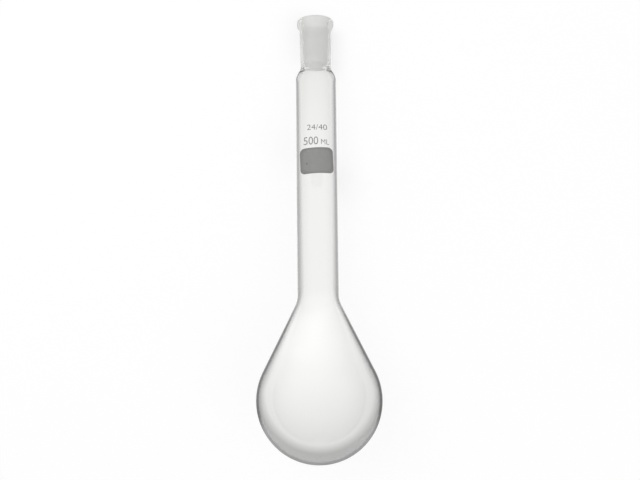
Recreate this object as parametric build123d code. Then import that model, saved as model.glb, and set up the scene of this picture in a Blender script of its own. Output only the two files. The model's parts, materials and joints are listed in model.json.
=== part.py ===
from build123d import *
import math
import os

# A 500 ml Kjeldahl flask: a long-necked digestion flask blown from one piece of
# borosilicate glass, with a ground socket and a rolled rim at its mouth and a
# fired enamel writing spot on its neck. It lies on its bulb and its rim, mouth
# towards +Y, writing spot up. All sizes are in millimetres. Heights are measured
# along the flask's own axis from the bottom pole of the bulb.

# Bulb and neck
TOTAL_LENGTH = 379.5
BULB_R = 52.5
FLANK_ANGLE = 26.5
NECK_SWEEP_R = 22.0
NECK_R = 17.3
WALL = 1.85

# Ground socket of standard taper 24/40, one in ten on the diameter
SOCKET_MOUTH_R = 12.0
SOCKET_DEPTH = 40.0
SOCKET_TAPER = 20.0
SOCKET_MOUTH_WALL = 1.9
SOCKET_FOOT_WALL = 3.05
SOCKET_FOOT_SKIRT = 1.5
SOCKET_BEVEL = 0.6

# Shoulder where the neck is drawn in to the socket
SHOULDER_R = 13.2
SHOULDER_HOLLOW_R = 9.4

# Rolled rim round the mouth
RIM_PROUD = 2.1
RIM_HEIGHT = 4.2
RIM_TOP_R = 2.2
RIM_UNDER_R = 4.0
RIM_HOLLOW_R = 9.0

# Enamel writing spot on the neck
SPOT_WIDTH = 28.0
SPOT_HEIGHT = 22.0
SPOT_CORNER_R = 4.0
SPOT_THICKNESS = 0.06
SPOT_BELOW_MOUTH = 127.5
SPOT_SKEW = 2.0

# Sizes that follow from the ones above
SOCKET_FOOT_Z = TOTAL_LENGTH - SOCKET_DEPTH
SOCKET_FOOT_R = SOCKET_MOUTH_R - SOCKET_DEPTH / SOCKET_TAPER
RIM_R = SOCKET_MOUTH_R + SOCKET_MOUTH_WALL + RIM_PROUD


def pear(inset):
    """Bulb, flank and sweep up to the neck, set in by a wall; gives the edges and the neck's start."""
    lean = math.radians(FLANK_ANGLE)
    bulb_r = BULB_R - inset
    neck_r = NECK_R - inset
    sweep_r = NECK_SWEEP_R + inset
    flank_foot = (bulb_r * math.cos(lean), BULB_R + bulb_r * math.sin(lean))
    flank_top_r = neck_r + sweep_r * (1 - math.cos(lean))
    flank_run = (flank_foot[0] - flank_top_r) / math.sin(lean)
    flank_top = (flank_top_r, flank_foot[1] + flank_run * math.cos(lean))
    neck_z = flank_top[1] + sweep_r * math.sin(lean)
    bulb = CenterArc((0, BULB_R), bulb_r, -90, 90 + FLANK_ANGLE)
    flank = Line(flank_foot, flank_top)
    sweep = CenterArc((neck_r + sweep_r, neck_z), sweep_r, 180, FLANK_ANGLE)
    return [bulb, flank, sweep], neck_z


def double_bend(low_r, high_r, low_round, high_round, high_z):
    """Two tangent arcs from one radius to another, ending upright at a height; gives its start too."""
    turn = math.acos(1 - abs(high_r - low_r) / (low_round + high_round))
    degrees = math.degrees(turn)
    low_z = high_z - (low_round + high_round) * math.sin(turn)
    if high_r < low_r:
        low = CenterArc((low_r - low_round, low_z), low_round, 0, degrees)
        high = CenterArc((high_r + high_round, high_z), high_round, 180, degrees)
    else:
        low = CenterArc((low_r + low_round, low_z), low_round, 180 - degrees, degrees)
        high = CenterArc((high_r - high_round, high_z), high_round, -degrees, degrees)
    return [low, high], low_z


def outside():
    """Outer line of the wall, from the bottom pole to the top of the rim."""
    bulb, neck_z = pear(0)
    foot_r = SOCKET_FOOT_R + SOCKET_FOOT_WALL
    foot_z = SOCKET_FOOT_Z - SOCKET_FOOT_SKIRT
    shoulder, shoulder_z = double_bend(NECK_R, foot_r, SHOULDER_R, SHOULDER_HOLLOW_R, foot_z)
    collar_r = SOCKET_MOUTH_R + SOCKET_MOUTH_WALL
    rim_z = TOTAL_LENGTH - RIM_HEIGHT
    underside, collar_z = double_bend(collar_r, RIM_R, RIM_HOLLOW_R, RIM_UNDER_R, rim_z)
    neck = Line((NECK_R, neck_z), (NECK_R, shoulder_z))
    socket = Line((foot_r, foot_z), (collar_r, collar_z))
    rim = Line((RIM_R, rim_z), (RIM_R, TOTAL_LENGTH - RIM_TOP_R))
    rim_top = CenterArc((RIM_R - RIM_TOP_R, TOTAL_LENGTH - RIM_TOP_R), RIM_TOP_R, 0, 90)
    return bulb + [neck] + shoulder + [socket] + underside + [rim, rim_top]


def inside():
    """Inner line of the wall, from the mouth down to the bottom of the bulb."""
    bulb, neck_z = pear(WALL)
    bore_r = NECK_R - WALL
    shoulder, shoulder_z = double_bend(bore_r, SOCKET_FOOT_R, SHOULDER_R - WALL,
                                       SHOULDER_HOLLOW_R + SOCKET_FOOT_WALL, SOCKET_FOOT_Z)
    bevel_foot = (SOCKET_MOUTH_R - SOCKET_BEVEL / SOCKET_TAPER, TOTAL_LENGTH - SOCKET_BEVEL)
    mouth = Line((RIM_R - RIM_TOP_R, TOTAL_LENGTH), (SOCKET_MOUTH_R + SOCKET_BEVEL, TOTAL_LENGTH))
    bevel = Line((SOCKET_MOUTH_R + SOCKET_BEVEL, TOTAL_LENGTH), bevel_foot)
    cone = Line(bevel_foot, (SOCKET_FOOT_R, SOCKET_FOOT_Z))
    bore = Line((bore_r, shoulder_z), (bore_r, neck_z))
    return [mouth, bevel, cone] + shoulder + [bore] + bulb


def make_flask():
    """The glass: one wall section turned about the flask's axis."""
    pole = Line((0, 0), (0, WALL))
    section = Plane.XZ * make_face(Curve() + outside() + inside() + [pole])
    return revolve(section, Axis.Z)


def make_writing_spot():
    """A thin rounded patch that wraps the front of the neck."""
    height = TOTAL_LENGTH - SPOT_BELOW_MOUTH
    skin = Cylinder(NECK_R + SPOT_THICKNESS, 2 * SPOT_HEIGHT) - Cylinder(NECK_R, 2 * SPOT_HEIGHT)
    patch = Rot(Z=SPOT_SKEW) * RectangleRounded(SPOT_WIDTH, SPOT_HEIGHT, SPOT_CORNER_R)
    stencil = extrude(Plane.XZ * patch, 2 * NECK_R)
    return Pos(Z=height) * (skin & stencil)


def lay_down(shape):
    """Tips the upright flask over until its bulb and its rim both touch the ground."""
    rim_corner_r = RIM_R - RIM_TOP_R
    rim_corner_z = TOTAL_LENGTH - RIM_TOP_R
    reach = math.hypot(rim_corner_r, rim_corner_z - BULB_R)
    droop = math.asin((BULB_R - RIM_TOP_R) / reach) - math.atan2(rim_corner_r, rim_corner_z - BULB_R)
    lift = BULB_R * (1 + math.sin(droop))
    bulb_end = BULB_R * math.cos(droop) - BULB_R
    mouth_end = rim_corner_z * math.cos(droop) + rim_corner_r * math.sin(droop) + RIM_TOP_R
    return Pos(0, -(bulb_end + mouth_end) / 2, lift) * Rot(X=-90 - math.degrees(droop)) * shape


def build():
    """Every piece of the flask in its resting place, by name."""
    return {
        "flask": lay_down(make_flask()),
        "writing_spot": lay_down(make_writing_spot()),
    }


os.makedirs("parts", exist_ok=True)
for name, shape in build().items():
    export_step(shape, f"parts/{name}.step")
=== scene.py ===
import json
import math

import bmesh
import bpy
from mathutils import Matrix, Vector


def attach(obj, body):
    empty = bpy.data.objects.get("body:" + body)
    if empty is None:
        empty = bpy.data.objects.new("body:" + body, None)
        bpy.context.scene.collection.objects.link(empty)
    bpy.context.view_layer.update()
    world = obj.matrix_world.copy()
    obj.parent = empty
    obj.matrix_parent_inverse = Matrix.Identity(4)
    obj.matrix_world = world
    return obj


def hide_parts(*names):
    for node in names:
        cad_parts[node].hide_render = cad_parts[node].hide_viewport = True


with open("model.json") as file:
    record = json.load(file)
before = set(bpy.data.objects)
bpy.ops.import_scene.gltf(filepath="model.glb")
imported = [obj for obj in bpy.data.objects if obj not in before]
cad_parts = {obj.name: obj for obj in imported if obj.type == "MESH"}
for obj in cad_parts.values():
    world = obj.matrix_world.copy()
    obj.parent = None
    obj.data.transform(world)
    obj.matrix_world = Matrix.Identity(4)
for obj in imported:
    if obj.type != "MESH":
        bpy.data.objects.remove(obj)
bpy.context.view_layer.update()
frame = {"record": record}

# The camera looks straight down on the lying flask, with the mouth at the top of the picture
CAMERA_LENS_MM = 47.8125
CAMERA_SENSOR_MM = 36.0
CAMERA_PLACE = (0.00203, -0.0038, 0.7597)
CAMERA_ROLL_DEG = -0.65

camera_data = bpy.data.cameras.new("camera")
camera_data.lens = CAMERA_LENS_MM
camera_data.sensor_width = CAMERA_SENSOR_MM
camera = bpy.data.objects.new("camera", camera_data)
camera.location = CAMERA_PLACE
camera.rotation_euler = (0.0, 0.0, math.radians(CAMERA_ROLL_DEG))
bpy.context.scene.collection.objects.link(camera)
bpy.context.scene.camera = camera
bpy.context.scene.view_settings.view_transform = "Standard"

# The flask. It is one piece of clear borosilicate glass: the pear bulb is blown, the neck is drawn,
# and its end is drawn in and pressed to a thick ground socket with a rolled rim. It lies on its bulb
# and its rim, so its own axis droops a little towards the mouth.
MM = 0.001
mounts = {mount["name"]: mount for mount in frame["record"]["mounts"]}
flask_axis = Vector(mounts["neck_clamp"]["axis"]).normalized()
bulb_centre = Vector(mounts["bulb_seat"]["pos_m"])
BULB_R = bulb_centre.z
NECK_R = mounts["neck_clamp"]["dims"]["r_mm"] * MM
pole = bulb_centre - flask_axis * BULB_R
TOTAL_LENGTH = (Vector(mounts["ground_socket"]["pos_m"]) - pole).length
FLANK_ANGLE = math.radians(26.5)
NECK_SWEEP_R = 22.0 * MM
WALL = 1.85 * MM
SOCKET_MOUTH_R = 12.0 * MM
SOCKET_DEPTH = 40.0 * MM
SOCKET_TAPER = 20.0
SOCKET_MOUTH_WALL = 1.9 * MM
SOCKET_FOOT_WALL = 3.05 * MM
SOCKET_FOOT_SKIRT = 1.5 * MM
SOCKET_BEVEL = 0.6 * MM
SHOULDER_R = 13.2 * MM
SHOULDER_HOLLOW_R = 9.4 * MM
RIM_PROUD = 2.1 * MM
RIM_HEIGHT = 4.2 * MM
RIM_TOP_R = 2.2 * MM
RIM_UNDER_R = 4.0 * MM
RIM_HOLLOW_R = 9.0 * MM
socket_foot_s = TOTAL_LENGTH - SOCKET_DEPTH
socket_foot_r = SOCKET_MOUTH_R - SOCKET_DEPTH / SOCKET_TAPER
rim_r = SOCKET_MOUTH_R + SOCKET_MOUTH_WALL + RIM_PROUD
WALL_TURNS = 288
WALL_STEP = 6.0 * MM
ARC_STEP = math.radians(1.6)
FINE_ARC_STEP = math.radians(6.0)
CREASE = math.radians(28.0)
GROUND_FROM = 0.99
SAME_PLACE = 1e-6

# From the flask's own upright frame, with its bottom pole at the origin and the front at -Y, to where it lies
sideways = Vector((1.0, 0.0, 0.0))
lying = Matrix.Identity(4)
for row, column in enumerate(zip(sideways, flask_axis.cross(sideways), flask_axis, pole)):
    lying[row][:] = column


def link(name, mesh):
    """Puts a finished mesh in the scene as one piece at the origin."""
    piece = bpy.data.objects.new(name, mesh)
    bpy.context.scene.collection.objects.link(piece)
    return piece


def arc(centre, radius, start, turn, step=ARC_STEP):
    """Points on an arc in the wall's section, without its first one."""
    count = max(2, math.ceil(abs(turn) / step))
    angles = [start + turn * i / count for i in range(1, count + 1)]
    return [(centre[0] + radius * math.cos(a), centre[1] + radius * math.sin(a)) for a in angles]


def run(start, end, step=WALL_STEP):
    """Points on a straight stretch of the wall's section, without its first one."""
    count = max(1, math.ceil(math.dist(start, end) / step))
    return [tuple(a + (b - a) * i / count for a, b in zip(start, end)) for i in range(1, count + 1)]


def pear(inset):
    """Bulb, flank and sweep up to the neck, from the bottom pole up."""
    bulb_r, neck_r, sweep_r = BULB_R - inset, NECK_R - inset, NECK_SWEEP_R + inset
    foot = (bulb_r * math.cos(FLANK_ANGLE), BULB_R + bulb_r * math.sin(FLANK_ANGLE))
    top_r = neck_r + sweep_r * (1 - math.cos(FLANK_ANGLE))
    top = (top_r, foot[1] + (foot[0] - top_r) / math.tan(FLANK_ANGLE))
    neck_s = top[1] + sweep_r * math.sin(FLANK_ANGLE)
    bulb = arc((0.0, BULB_R), bulb_r, -math.pi / 2, math.pi / 2 + FLANK_ANGLE)
    sweep = arc((neck_r + sweep_r, neck_s), sweep_r, math.pi + FLANK_ANGLE, -FLANK_ANGLE)
    return [(0.0, inset)] + bulb + run(foot, top) + sweep


def double_bend(low_r, high_r, low_round, high_round, high_s):
    """Two tangent arcs from one radius to another, from their upright start to their upright end."""
    turn = math.acos(1 - abs(high_r - low_r) / (low_round + high_round))
    low_s = high_s - (low_round + high_round) * math.sin(turn)
    if high_r < low_r:
        low = arc((low_r - low_round, low_s), low_round, 0.0, turn, FINE_ARC_STEP)
        high = arc((high_r + high_round, high_s), high_round, math.pi + turn, -turn, FINE_ARC_STEP)
    else:
        low = arc((low_r + low_round, low_s), low_round, math.pi, -turn, FINE_ARC_STEP)
        high = arc((high_r - high_round, high_s), high_round, -turn, turn, FINE_ARC_STEP)
    return [(low_r, low_s)] + low + high


def wall_section():
    """The wall's section from the outer bottom pole over the rim to the inner one, and its ground rows."""
    foot_r = socket_foot_r + SOCKET_FOOT_WALL
    shoulder = double_bend(NECK_R, foot_r, SHOULDER_R, SHOULDER_HOLLOW_R, socket_foot_s - SOCKET_FOOT_SKIRT)
    underside = double_bend(SOCKET_MOUTH_R + SOCKET_MOUTH_WALL, rim_r, RIM_HOLLOW_R, RIM_UNDER_R,
                            TOTAL_LENGTH - RIM_HEIGHT)
    outside = pear(0.0)
    for part in (shoulder, underside):
        outside += run(outside[-1], part[0]) + part[1:]
    outside += run(outside[-1], (rim_r, TOTAL_LENGTH - RIM_TOP_R))
    outside += arc((rim_r - RIM_TOP_R, TOTAL_LENGTH - RIM_TOP_R), RIM_TOP_R, 0.0, math.pi / 2, FINE_ARC_STEP)
    bevel_top = (SOCKET_MOUTH_R + SOCKET_BEVEL, TOTAL_LENGTH)
    bevel_foot = (SOCKET_MOUTH_R - SOCKET_BEVEL / SOCKET_TAPER, TOTAL_LENGTH - SOCKET_BEVEL)
    mouth = run(outside[-1], bevel_top) + run(bevel_top, bevel_foot)
    cone = run(bevel_foot, (socket_foot_r, socket_foot_s))
    drawn_in = double_bend(NECK_R - WALL, socket_foot_r, SHOULDER_R - WALL,
                           SHOULDER_HOLLOW_R + SOCKET_FOOT_WALL, socket_foot_s)
    bore = pear(WALL)
    bore += run(bore[-1], drawn_in[0])
    smooth_inside = bore + drawn_in[1:-1]
    section = outside + mouth + cone + smooth_inside[::-1]
    first = len(outside) + len(mouth) - 1
    return section, range(first, first + len(cone) + 1)


def take(tree, **kinds):
    """Named inputs of a node group, by kind."""
    for name, kind in kinds.items():
        tree.interface.new_socket(name, in_out="INPUT", socket_type="NodeSocket" + kind)


def wire(tree, source, target):
    """Joins an output to an input."""
    tree.links.new(source, target)


def maths(tree, operation, *values):
    """A Math node fed by outputs or plain numbers."""
    node = tree.nodes.new("ShaderNodeMath")
    node.operation = operation
    for slot, value in zip(node.inputs, values):
        if isinstance(value, bpy.types.NodeSocket):
            wire(tree, value, slot)
        else:
            slot.default_value = value
    return node.outputs[0]


def turned_wall():
    """A node group that turns a wall's section about the flask's axis and lays it down."""
    tree = bpy.data.node_groups.new("turned_wall", "GeometryNodeTree")
    tree.interface.new_socket("Geometry", in_out="OUTPUT", socket_type="NodeSocketGeometry")
    take(tree, Section="Geometry", Turns="Int", Lie="Vector", Place="Vector")
    take(tree, Clear="Material", Ground="Material")
    new = tree.nodes.new
    given = new("NodeGroupInput").outputs
    size = new("GeometryNodeAttributeDomainSize")
    wire(tree, given["Section"], size.inputs["Geometry"])
    rows = size.outputs["Point Count"]
    grid = new("GeometryNodeMeshGrid")
    wire(tree, maths(tree, "ADD", given["Turns"], 1.0), grid.inputs["Vertices X"])
    wire(tree, rows, grid.inputs["Vertices Y"])
    index = new("GeometryNodeInputIndex").outputs[0]
    row = maths(tree, "MODULO", index, rows)
    column = maths(tree, "FLOOR", maths(tree, "DIVIDE", index, rows))
    angle = maths(tree, "DIVIDE", maths(tree, "MULTIPLY", column, math.tau), given["Turns"])
    sampled = {}
    for name, kind, source in (("point", "FLOAT_VECTOR", "GeometryNodeInputPosition"),
                               ("ground", "FLOAT", "GeometryNodeInputNamedAttribute")):
        field = new(source)
        if name == "ground":
            field.data_type = "FLOAT"
            field.inputs["Name"].default_value = "ground"
        sample = new("GeometryNodeSampleIndex")
        sample.data_type = kind
        wire(tree, given["Section"], sample.inputs["Geometry"])
        wire(tree, field.outputs[0], sample.inputs["Value"])
        wire(tree, row, sample.inputs["Index"])
        sampled[name] = sample.outputs[0]
    around = new("ShaderNodeVectorRotate")
    around.rotation_type = "Z_AXIS"
    wire(tree, sampled["point"], around.inputs["Vector"])
    wire(tree, angle, around.inputs["Angle"])
    over = new("ShaderNodeVectorRotate")
    over.rotation_type = "EULER_XYZ"
    wire(tree, around.outputs[0], over.inputs["Vector"])
    wire(tree, given["Lie"], over.inputs["Rotation"])
    moved = new("ShaderNodeVectorMath")
    moved.operation = "ADD"
    wire(tree, over.outputs[0], moved.inputs[0])
    wire(tree, given["Place"], moved.inputs[1])
    placed = new("GeometryNodeSetPosition")
    wire(tree, grid.outputs["Mesh"], placed.inputs["Geometry"])
    wire(tree, moved.outputs[0], placed.inputs["Position"])
    kept = new("GeometryNodeStoreNamedAttribute")
    kept.data_type = "FLOAT"
    kept.inputs["Name"].default_value = "ground"
    wire(tree, placed.outputs[0], kept.inputs["Geometry"])
    wire(tree, sampled["ground"], kept.inputs["Value"])
    closed = new("GeometryNodeMergeByDistance")
    closed.inputs["Distance"].default_value = SAME_PLACE
    wire(tree, kept.outputs[0], closed.inputs["Geometry"])
    real = new("GeometryNodeRealizeInstances")
    wire(tree, closed.outputs[0], real.inputs["Geometry"])
    clear = new("GeometryNodeSetMaterial")
    wire(tree, real.outputs[0], clear.inputs["Geometry"])
    wire(tree, given["Clear"], clear.inputs["Material"])
    is_ground = new("GeometryNodeInputNamedAttribute")
    is_ground.data_type = "FLOAT"
    is_ground.inputs["Name"].default_value = "ground"
    ground = new("GeometryNodeSetMaterial")
    wire(tree, clear.outputs[0], ground.inputs["Geometry"])
    wire(tree, maths(tree, "GREATER_THAN", is_ground.outputs[0], GROUND_FROM), ground.inputs["Selection"])
    wire(tree, given["Ground"], ground.inputs["Material"])
    wire(tree, ground.outputs[0], new("NodeGroupOutput").inputs[0])
    return tree


def grown(base, tree, **values):
    """The plain mesh that a node group makes of an object, which is removed."""
    modifier = base.modifiers.new(tree.name, "NODES")
    modifier.node_group = tree
    for item in tree.interface.items_tree:
        if item.item_type == "SOCKET" and item.name in values:
            modifier[item.identifier] = values[item.name]
    seen = base.evaluated_get(bpy.context.evaluated_depsgraph_get())
    mesh = bpy.data.meshes.new_from_object(seen)
    bpy.data.objects.remove(base)
    return mesh


def creased(mesh):
    """Smooth faces, with their sharp edges marked and the normals pointing out."""
    shape = bmesh.new()
    shape.from_mesh(mesh)
    bmesh.ops.recalc_face_normals(shape, faces=shape.faces)
    for face in shape.faces:
        face.smooth = True
    for edge in shape.edges:
        edge.smooth = edge.calc_face_angle(0.0) < CREASE
    shape.to_mesh(mesh)
    shape.free()
    return mesh


GLASS_IOR = 1.473
GLASS_DEPTH_TINT = (0.902, 0.902, 0.886, 1.0)
GLASS_DEPTH_DENSITY = 60.0
GLASS_TINT = (0.998, 0.998, 0.995, 1.0)
GLASS_SHADE = (0.93, 0.935, 0.93, 1.0)
GLASS_BLUR = (0.0, 0.02, 0.4, 0.8)
GLASS_BLUR_CELLS = (40.0, (1.0, 1.0, 0.4))
GLASS_STREAKS = (160.0, (1.0, 1.0, 0.04), 3.0)
GLASS_STREAK_SHARE = 0.1
GLASS_WAVES = (28.0, (1.0, 1.0, 0.7), 1.0)
GLASS_WAVE_HEIGHT = 0.1 * MM
GROUND_TINT = (0.99, 0.99, 0.985, 1.0)
GROUND_SHADE = (0.92, 0.92, 0.92, 1.0)
GROUND_CLEARNESS = 0.55
GROUND_ROUGHNESS = (0.4, 0.5)
GROUND_GRAIN = 900.0
GROUND_MARKS = (300.0, (0.15, 0.15, 6.0), 4.0)
GROUND_MARK_HEIGHT = 0.02 * MM


def own_axis(tree):
    """Object coordinates turned to the flask's own axis: Z runs from the bottom pole to the mouth."""
    place = tree.nodes.new("ShaderNodeMapping")
    place.vector_type = "TEXTURE"
    place.inputs["Location"].default_value = lying.to_translation()
    place.inputs["Rotation"].default_value = lying.to_euler()
    wire(tree, tree.nodes.new("ShaderNodeTexCoord").outputs["Object"], place.inputs["Vector"])
    return place.outputs["Vector"]


def noise(tree, vector, scale, stretch=(1.0, 1.0, 1.0), detail=2.0):
    """A noise whose cells are stretched along the flask's axis or round it."""
    spread = tree.nodes.new("ShaderNodeMapping")
    spread.inputs["Scale"].default_value = stretch
    wire(tree, vector, spread.inputs["Vector"])
    made = tree.nodes.new("ShaderNodeTexNoise")
    made.inputs["Scale"].default_value = scale
    made.inputs["Detail"].default_value = detail
    wire(tree, spread.outputs["Vector"], made.inputs["Vector"])
    return made.outputs["Fac"]


def spread_to(tree, value, low, high, start=0.0, end=1.0):
    """A value carried over from one range to another."""
    node = tree.nodes.new("ShaderNodeMapRange")
    wire(tree, value, node.inputs["Value"])
    for name, number in (("From Min", start), ("From Max", end), ("To Min", low), ("To Max", high)):
        node.inputs[name].default_value = number
    return node.outputs[0]


def bump(tree, height, distance, strength=1.0):
    """A bump of a real height in metres."""
    node = tree.nodes.new("ShaderNodeBump")
    node.inputs["Strength"].default_value = strength
    node.inputs["Distance"].default_value = distance
    wire(tree, height, node.inputs["Height"])
    return node.outputs["Normal"]


def new_material(name):
    """An empty material with its Principled shader and its output."""
    material = bpy.data.materials.new(name)
    material.use_nodes = True
    material.node_tree.nodes.clear()
    surface = material.node_tree.nodes.new("ShaderNodeBsdfPrincipled")
    output = material.node_tree.nodes.new("ShaderNodeOutputMaterial")
    wire(material.node_tree, surface.outputs[0], output.inputs["Surface"])
    return material, material.node_tree, surface, output


def let_lamps_through(tree, surface, output, shade):
    """Lets light from lamps straight through, a little weaker. Camera rays meet the glass itself."""
    path = tree.nodes.new("ShaderNodeLightPath").outputs
    through = tree.nodes.new("ShaderNodeBsdfTransparent")
    through.inputs["Color"].default_value = shade
    mix = tree.nodes.new("ShaderNodeMixShader")
    wire(tree, maths(tree, "MAXIMUM", path["Is Shadow Ray"], path["Is Diffuse Ray"]), mix.inputs[0])
    wire(tree, surface.outputs[0], mix.inputs[1])
    wire(tree, through.outputs[0], mix.inputs[2])
    wire(tree, mix.outputs[0], output.inputs["Surface"])


def deepen(tree, output):
    """A faint grey in the depth of the glass, which shows where one looks along its wall."""
    depth = tree.nodes.new("ShaderNodeVolumeAbsorption")
    depth.inputs["Color"].default_value = GLASS_DEPTH_TINT
    depth.inputs["Density"].default_value = GLASS_DEPTH_DENSITY
    wire(tree, depth.outputs[0], output.inputs["Volume"])


def clear_glass():
    """Clear borosilicate glass with the faint streaks of drawn tube and the soft waves of blowing."""
    material, tree, surface, output = new_material("clear_glass")
    surface.inputs["Base Color"].default_value = GLASS_TINT
    surface.inputs["Transmission Weight"].default_value = 1.0
    surface.inputs["IOR"].default_value = GLASS_IOR
    along = own_axis(tree)
    wire(tree, spread_to(tree, noise(tree, along, *GLASS_BLUR_CELLS), *GLASS_BLUR), surface.inputs["Roughness"])
    streaks = noise(tree, along, *GLASS_STREAKS)
    waves = noise(tree, along, *GLASS_WAVES)
    relief = maths(tree, "ADD", maths(tree, "MULTIPLY", streaks, GLASS_STREAK_SHARE), waves)
    wire(tree, bump(tree, relief, GLASS_WAVE_HEIGHT), surface.inputs["Normal"])
    deepen(tree, output)
    let_lamps_through(tree, surface, output, GLASS_SHADE)
    return material


def ground_glass():
    """The ground cone of the socket: the same glass, cut frosty with fine marks round the axis."""
    material, tree, surface, output = new_material("ground_glass")
    surface.inputs["Base Color"].default_value = GROUND_TINT
    surface.inputs["Transmission Weight"].default_value = GROUND_CLEARNESS
    surface.inputs["IOR"].default_value = GLASS_IOR
    along = own_axis(tree)
    grain = noise(tree, along, GROUND_GRAIN)
    wire(tree, spread_to(tree, grain, *GROUND_ROUGHNESS), surface.inputs["Roughness"])
    marks = noise(tree, along, *GROUND_MARKS)
    wire(tree, bump(tree, marks, GROUND_MARK_HEIGHT), surface.inputs["Normal"])
    deepen(tree, output)
    let_lamps_through(tree, surface, output, GROUND_SHADE)
    return material


def section_object():
    """The wall's section as a row of points that know whether they are ground."""
    points, ground_rows = wall_section()
    mesh = bpy.data.meshes.new("section")
    mesh.from_pydata([(r, 0.0, s) for r, s in points], [], [])
    ground = mesh.attributes.new("ground", "FLOAT", "POINT")
    for i in ground_rows:
        ground.data[i].value = 1.0
    return link("section", mesh)


flask_mesh = grown(section_object(), turned_wall(), Turns=WALL_TURNS, Lie=tuple(lying.to_euler()),
                   Place=tuple(lying.to_translation()), Clear=clear_glass(), Ground=ground_glass())
flask = link("flask_glass", creased(flask_mesh))
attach(flask, "root")
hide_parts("flask")

# The writing spot. It is a grey enamel, printed on the neck and fired until it is part of the glass,
# with a matt face that takes a pencil. It is a few hundredths of a millimetre thick and wraps the
# neck's front.
SPOT_WIDTH = 28.0 * MM
SPOT_HEIGHT = 22.0 * MM
SPOT_CORNER_R = 4.0 * MM
SPOT_THICKNESS = 0.06 * MM
SPOT_BELOW_MOUTH = 127.5 * MM
SPOT_SKEW = math.radians(2.0)
SPOT_CUT = 0.5 * MM
ENAMEL_GREY = (0.29, 0.29, 0.282, 1.0)
ENAMEL_CLOUDS = 260.0
ENAMEL_CLOUD_TONES = (0.93, 1.07)
ENAMEL_ROUGHNESS = (0.5, 0.75)
ENAMEL_ROUGHNESS_CELLS = 1500.0
ENAMEL_GRAIN = 2200.0
ENAMEL_GRAIN_HEIGHT = 0.02 * MM
SPOT_SQUARENESS = 5.0
SPOT_BORDER = (1.04, 0.74, 0.78, 1.08)
SPOT_BLOTS = (((-8.3 * MM, -2.6 * MM), 1.0 * MM, 0.6), ((-7.0 * MM, 8.2 * MM), 0.8 * MM, 1.25))
spot_s = TOTAL_LENGTH - SPOT_BELOW_MOUTH


def cut_up(shape, low, high, cut):
    """Cuts a flat shape in XY into upright strips, so that it can bend."""
    for i in range(1, math.ceil((high - low) / cut)):
        bmesh.ops.bisect_plane(shape, geom=shape.verts[:] + shape.edges[:] + shape.faces[:],
                               plane_co=(low + i * cut, 0.0, 0.0), plane_no=(1.0, 0.0, 0.0))


def enamel_skin(name, shape, place_s, thickness, material):
    """A flat shape in XY as a closed skin of even thickness on the front of the neck, in its lying place."""
    across = [v.co.x for v in shape.verts]
    cut_up(shape, min(across), max(across), SPOT_CUT)
    under = bmesh.ops.duplicate(shape, geom=shape.verts[:] + shape.edges[:] + shape.faces[:])
    low_verts = {v for v in under["geom"] if isinstance(v, bmesh.types.BMVert)}
    pairs = {v: under["vert_map"][v] for v in shape.verts if v not in low_verts}
    for a, b in [e.verts for e in shape.edges if e.is_boundary and e.verts[0] in pairs]:
        shape.faces.new((a, b, pairs[b], pairs[a]))
    for vert in shape.verts:
        radius = NECK_R if vert in low_verts else NECK_R + thickness
        depth = math.sqrt(radius ** 2 - vert.co.x ** 2)
        vert.co = lying @ Vector((vert.co.x, -depth, place_s + vert.co.y))
    mesh = bpy.data.meshes.new(name)
    shape.to_mesh(mesh)
    shape.free()
    mesh.materials.append(material)
    return creased(mesh)


def rounded_rectangle(width, height, corner, skew):
    """The outline of a rounded rectangle about the origin, turned a little."""
    points = []
    for quarter in range(4):
        sign_x, sign_y = (1, 1, -1, -1)[quarter], (-1, 1, 1, -1)[quarter]
        centre = (sign_x * (width / 2 - corner), sign_y * (height / 2 - corner))
        start = (quarter - 1) * math.pi / 2
        points.append((centre[0] + corner * math.cos(start), centre[1] + corner * math.sin(start)))
        points += arc(centre, corner, start, math.pi / 2, FINE_ARC_STEP)
    turn = Matrix.Rotation(skew, 2)
    return [tuple(turn @ Vector(p)) for p in points]


def blot(tree, place, centre, size, tone):
    """A factor that is one, and goes to a tone within a small round blot."""
    off = tree.nodes.new("ShaderNodeVectorMath")
    off.operation = "DISTANCE"
    wire(tree, place, off.inputs[0])
    off.inputs[1].default_value = centre
    return spread_to(tree, off.outputs["Value"], tone, 1.0, size / 2, size)


def spot_edge(tree, place):
    """How near the border of the spot a place is, one being the middle of a side."""
    parts = tree.nodes.new("ShaderNodeSeparateXYZ")
    wire(tree, place, parts.inputs[0])
    across = maths(tree, "DIVIDE", parts.outputs["X"], SPOT_WIDTH / 2)
    up = maths(tree, "DIVIDE", maths(tree, "SUBTRACT", parts.outputs["Z"], spot_s), SPOT_HEIGHT / 2)
    powers = [maths(tree, "POWER", maths(tree, "ABSOLUTE", side), SPOT_SQUARENESS) for side in (across, up)]
    return maths(tree, "POWER", maths(tree, "ADD", *powers), 1 / SPOT_SQUARENESS)


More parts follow.
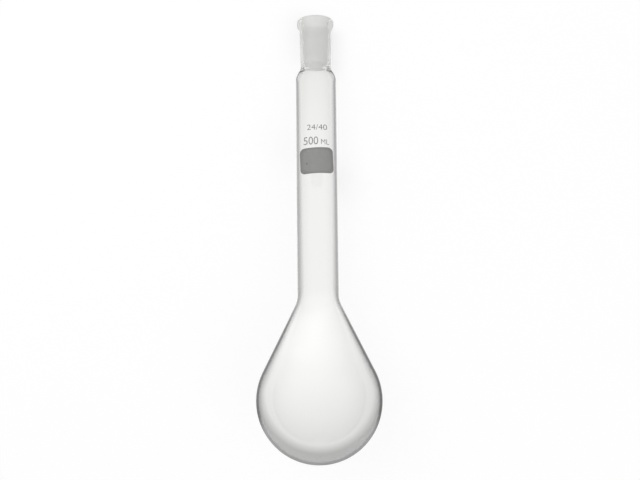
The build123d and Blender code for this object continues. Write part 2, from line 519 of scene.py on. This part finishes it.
def enamel(name, bordered):
    """Matt fired enamel with a fine grain. The spot's has a darker border, a small darker blot and a small
    lighter fleck.
    """
    material, tree, surface, _ = new_material(name)
    along = own_axis(tree)
    tone = spread_to(tree, noise(tree, along, ENAMEL_CLOUDS, detail=4.0), *ENAMEL_CLOUD_TONES)
    if bordered:
        tone = maths(tree, "MULTIPLY", tone, spread_to(tree, spot_edge(tree, along), *SPOT_BORDER))
        for (x, up), size, shade in SPOT_BLOTS:
            centre = (x, -math.sqrt(NECK_R ** 2 - x ** 2), spot_s + up)
            tone = maths(tree, "MULTIPLY", tone, blot(tree, along, centre, size, shade))
    colour = tree.nodes.new("ShaderNodeVectorMath")
    colour.operation = "SCALE"
    colour.inputs[0].default_value = ENAMEL_GREY[:3]
    wire(tree, tone, colour.inputs["Scale"])
    wire(tree, colour.outputs[0], surface.inputs["Base Color"])
    patches = noise(tree, along, ENAMEL_ROUGHNESS_CELLS)
    wire(tree, spread_to(tree, patches, *ENAMEL_ROUGHNESS), surface.inputs["Roughness"])
    grain = noise(tree, along, ENAMEL_GRAIN, detail=3.0)
    wire(tree, bump(tree, grain, ENAMEL_GRAIN_HEIGHT), surface.inputs["Normal"])
    return material


spot_shape = bmesh.new()
spot_shape.faces.new([spot_shape.verts.new((x, y, 0.0)) for x, y in
                      rounded_rectangle(SPOT_WIDTH, SPOT_HEIGHT, SPOT_CORNER_R, SPOT_SKEW)])
spot_mesh = enamel_skin("writing_spot_enamel", spot_shape, spot_s, SPOT_THICKNESS, enamel("spot_enamel", True))
spot = link("writing_spot_enamel", spot_mesh)
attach(spot, "root")
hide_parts("writing_spot")

# The print above the spot. It is the same grey enamel, screened on in thin strokes: what the flask holds,
# and in small figures the size of its ground joint.
PRINT_THICKNESS = 0.03 * MM
print_enamel = enamel("print_enamel", False)
PRINTS = {
    "capacity_figures": ("500", 12.3 * MM, 6.7 * MM, (-4.7 * MM, 268.9 * MM)),
    "capacity_unit": ("ML", 6.6 * MM, 4.4 * MM, (7.2 * MM, 268.0 * MM)),
    "joint_figures": ("24/40", 17.0 * MM, 4.6 * MM, (0.6 * MM, 280.5 * MM)),
}


def print_shape(words, width, height, centre_x):
    """Words as a flat shape in XY, fitted to a width and a height about a centre."""
    curve = bpy.data.curves.new("words", "FONT")
    curve.body = words
    flat = link("words", curve)
    mesh = bpy.data.meshes.new_from_object(flat.evaluated_get(bpy.context.evaluated_depsgraph_get()))
    bpy.data.objects.remove(flat)
    shape = bmesh.new()
    shape.from_mesh(mesh)
    bmesh.ops.remove_doubles(shape, verts=shape.verts, dist=SAME_PLACE)
    low = [min(v.co[i] for v in shape.verts) for i in range(2)]
    high = [max(v.co[i] for v in shape.verts) for i in range(2)]
    for vert in shape.verts:
        vert.co.x = centre_x + ((vert.co.x - low[0]) / (high[0] - low[0]) - 0.5) * width
        vert.co.y = ((vert.co.y - low[1]) / (high[1] - low[1]) - 0.5) * height
    return shape


for name, (words, width, height, (centre_x, centre_s)) in PRINTS.items():
    flat_words = print_shape(words, width, height, centre_x)
    printed = link(name, enamel_skin(name, flat_words, centre_s, PRINT_THICKNESS, print_enamel))
    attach(printed, "root")

# The stage. A pale floor and room, both white to the eye, with two large soft lamps. Through the glass
# the floor glows with painted light and shade, laid out by place: a painted pool of light, brightest under
# the upper bulb and a little duller under the neck, and painted grey rings outside the flask's outline, which
# draw its walls dark: darkest beside the bulb, less so below it and beside the neck, and pale by the joint.
# Rings, reaches and places are in metres.
FLOOR_SIZE = 3.0
FLOOR_SHADE = 0.30
FLOOR_GLOW = 0.73
# Painted light and shade for glass: a pool of light and grey rings round the flask's outline, painted into the
# floor's glow by place.
PAINTED_POOL_MIDDLE = (-0.018, -0.088)
PAINTED_POOL_REACH = (0.015, 0.13)
PAINTED_POOL_TONES = (1.06, 0.66)
PAINTED_POOL_STRETCH_UP = 0.3
PAINTED_SHADE_RINGS = ((0.0, 1.0), (0.018, 0.27), (0.05, 0.27), (0.11, 0.62), (0.5, 0.6), (1.0, 0.3))
PAINTED_SHADE_FLANK = (bulb_centre.y, bulb_centre.y + 0.089)
PAINTED_GLOW_NECK = (bulb_centre.y + 0.06, bulb_centre.y + 0.089)
PAINTED_GLOW_NECK_TONES = (0.52, 0.93)
PAINTED_SHADE_BOTTOM = (0.01, 0.05)
PAINTED_SHADE_BOTTOM_TONE = 0.58
PAINTED_SHADE_JOINT = (-0.06, -0.04)
PAINTED_SHADE_JOINT_TONE = 0.85
ROOM_WHITE = 1.0
ROOM_LIGHT = 0.5
ROOM_TONES = (0.5, 1.0)
ROOM_RISE = (-0.1, 0.7)
LAMPS = {"key": ((-0.9, 0.7, 1.9), 1.4, 19.5), "fill": ((1.1, -0.5, 1.7), 1.4, 10.5)}


def length(tree, x, y):
    """The length of a flat vector."""
    squares = [maths(tree, "MULTIPLY", side, side) for side in (x, y)]
    return maths(tree, "SQRT", maths(tree, "ADD", *squares))


def painted_glass_glow(tree):
    """The painted light and shade that glass sees on the floor at each place: a painted pool of light under the
    flask, and painted grey rings round it.
    """
    place = tree.nodes.new("ShaderNodeSeparateXYZ")
    wire(tree, tree.nodes.new("ShaderNodeTexCoord").outputs["Object"], place.inputs[0])
    x, y = place.outputs[:2]
    off = [maths(tree, "SUBTRACT", place.outputs[i], PAINTED_POOL_MIDDLE[i]) for i in range(2)]
    up = maths(tree, "MULTIPLY", maths(tree, "MAXIMUM", off[1], 0.0), PAINTED_POOL_STRETCH_UP)
    down = maths(tree, "MINIMUM", off[1], 0.0)
    pool = spread_to(tree, length(tree, off[0], maths(tree, "ADD", down, up)), *PAINTED_POOL_TONES, *PAINTED_POOL_REACH)
    past_bulb = maths(tree, "SUBTRACT", bulb_centre.y, y)
    past_mouth = maths(tree, "SUBTRACT", y, Vector(mounts["ground_socket"]["pos_m"]).y)
    past = maths(tree, "MAXIMUM", maths(tree, "MAXIMUM", past_bulb, past_mouth), 0.0)
    outline = spread_to(tree, y, BULB_R, NECK_R, *PAINTED_SHADE_FLANK)
    # Painted shade: grey rings round the flask's outline that draw its walls dark through the glass.
    rings = tree.nodes.new("ShaderNodeValToRGB")
    wire(tree, maths(tree, "SUBTRACT", length(tree, x, past), outline), rings.inputs[0])
    while len(rings.color_ramp.elements) < len(PAINTED_SHADE_RINGS):
        rings.color_ramp.elements.new(0.5)
    for stop, (away, tone) in zip(rings.color_ramp.elements, PAINTED_SHADE_RINGS):
        stop.position = away
        stop.color = (tone, tone, tone, 1.0)
    tone = rings.outputs[0]
    floors = ((past_mouth, PAINTED_SHADE_JOINT_TONE, PAINTED_SHADE_JOINT), (y, PAINTED_GLOW_NECK_TONES[0], PAINTED_GLOW_NECK),
              (past_bulb, PAINTED_SHADE_BOTTOM_TONE, PAINTED_SHADE_BOTTOM))
    for where, least, reach in floors:
        tone = maths(tree, "MAXIMUM", tone, spread_to(tree, where, 0.0, least, *reach))
    most = spread_to(tree, y, PAINTED_POOL_TONES[0], PAINTED_GLOW_NECK_TONES[1], *PAINTED_GLOW_NECK)
    return maths(tree, "MULTIPLY", maths(tree, "MINIMUM", pool, most), tone)


def floor_material():
    """A pale floor that keeps a soft shadow, and that glass sees glowing with painted light and shade."""
    material, tree, surface, output = new_material("floor")
    surface.inputs["Base Color"].default_value = (FLOOR_SHADE, FLOOR_SHADE, FLOOR_SHADE, 1.0)
    surface.inputs["Roughness"].default_value = 1.0
    surface.inputs["Specular IOR Level"].default_value = 0.0
    glow = tree.nodes.new("ShaderNodeEmission")
    glow.inputs["Strength"].default_value = FLOOR_GLOW
    both = tree.nodes.new("ShaderNodeAddShader")
    wire(tree, surface.outputs[0], both.inputs[0])
    wire(tree, glow.outputs[0], both.inputs[1])
    # Painted light and shade: glossy and transmission rays see this glow, painted by place, instead of the lit
    # floor.
    glass_glow = tree.nodes.new("ShaderNodeEmission")
    wire(tree, painted_glass_glow(tree), glass_glow.inputs["Strength"])
    path = tree.nodes.new("ShaderNodeLightPath").outputs
    mix = tree.nodes.new("ShaderNodeMixShader")
    wire(tree, maths(tree, "MAXIMUM", path["Is Glossy Ray"], path["Is Transmission Ray"]), mix.inputs[0])
    wire(tree, both.outputs[0], mix.inputs[1])
    wire(tree, glass_glow.outputs[0], mix.inputs[2])
    wire(tree, mix.outputs[0], output.inputs["Surface"])
    return material


floor_mesh = bpy.data.meshes.new("floor")
half = FLOOR_SIZE / 2
corners = [(-half, -half, 0), (half, -half, 0), (half, half, 0), (-half, half, 0)]
floor_mesh.from_pydata(corners, [], [(0, 1, 2, 3)])
floor_mesh.materials.append(floor_material())
floor = link("floor", floor_mesh)

for name, (place, size, power) in LAMPS.items():
    lamp_data = bpy.data.lights.new(name, "AREA")
    lamp_data.shape = "DISK"
    lamp_data.size = size
    lamp_data.energy = power
    lamp = bpy.data.objects.new(name, lamp_data)
    lamp.location = place
    lamp.rotation_euler = Vector(place).to_track_quat("Z", "Y").to_euler()
    lamp.visible_glossy = False
    lamp.visible_transmission = False
    bpy.context.scene.collection.objects.link(lamp)

world = bpy.data.worlds.new("room")
bpy.context.scene.world = world
world.use_nodes = True
room = world.node_tree
room.nodes.clear()
rays = room.nodes.new("ShaderNodeLightPath").outputs
height = room.nodes.new("ShaderNodeSeparateXYZ")
wire(room, room.nodes.new("ShaderNodeTexCoord").outputs["Generated"], height.inputs[0])
rise = spread_to(room, height.outputs["Z"], *ROOM_TONES, *ROOM_RISE)
skies = {name: room.nodes.new("ShaderNodeBackground") for name in ("seen", "lit", "glass")}
skies["seen"].inputs["Strength"].default_value = ROOM_WHITE
skies["lit"].inputs["Strength"].default_value = ROOM_LIGHT
wire(room, rise, skies["glass"].inputs["Strength"])
through = room.nodes.new("ShaderNodeMixShader")
wire(room, maths(room, "MAXIMUM", rays["Is Glossy Ray"], rays["Is Transmission Ray"]), through.inputs[0])
wire(room, skies["lit"].outputs[0], through.inputs[1])
wire(room, skies["glass"].outputs[0], through.inputs[2])
either = room.nodes.new("ShaderNodeMixShader")
wire(room, rays["Is Camera Ray"], either.inputs[0])
wire(room, through.outputs[0], either.inputs[1])
wire(room, skies["seen"].outputs[0], either.inputs[2])
wire(room, either.outputs[0], room.nodes.new("ShaderNodeOutputWorld").inputs[0])
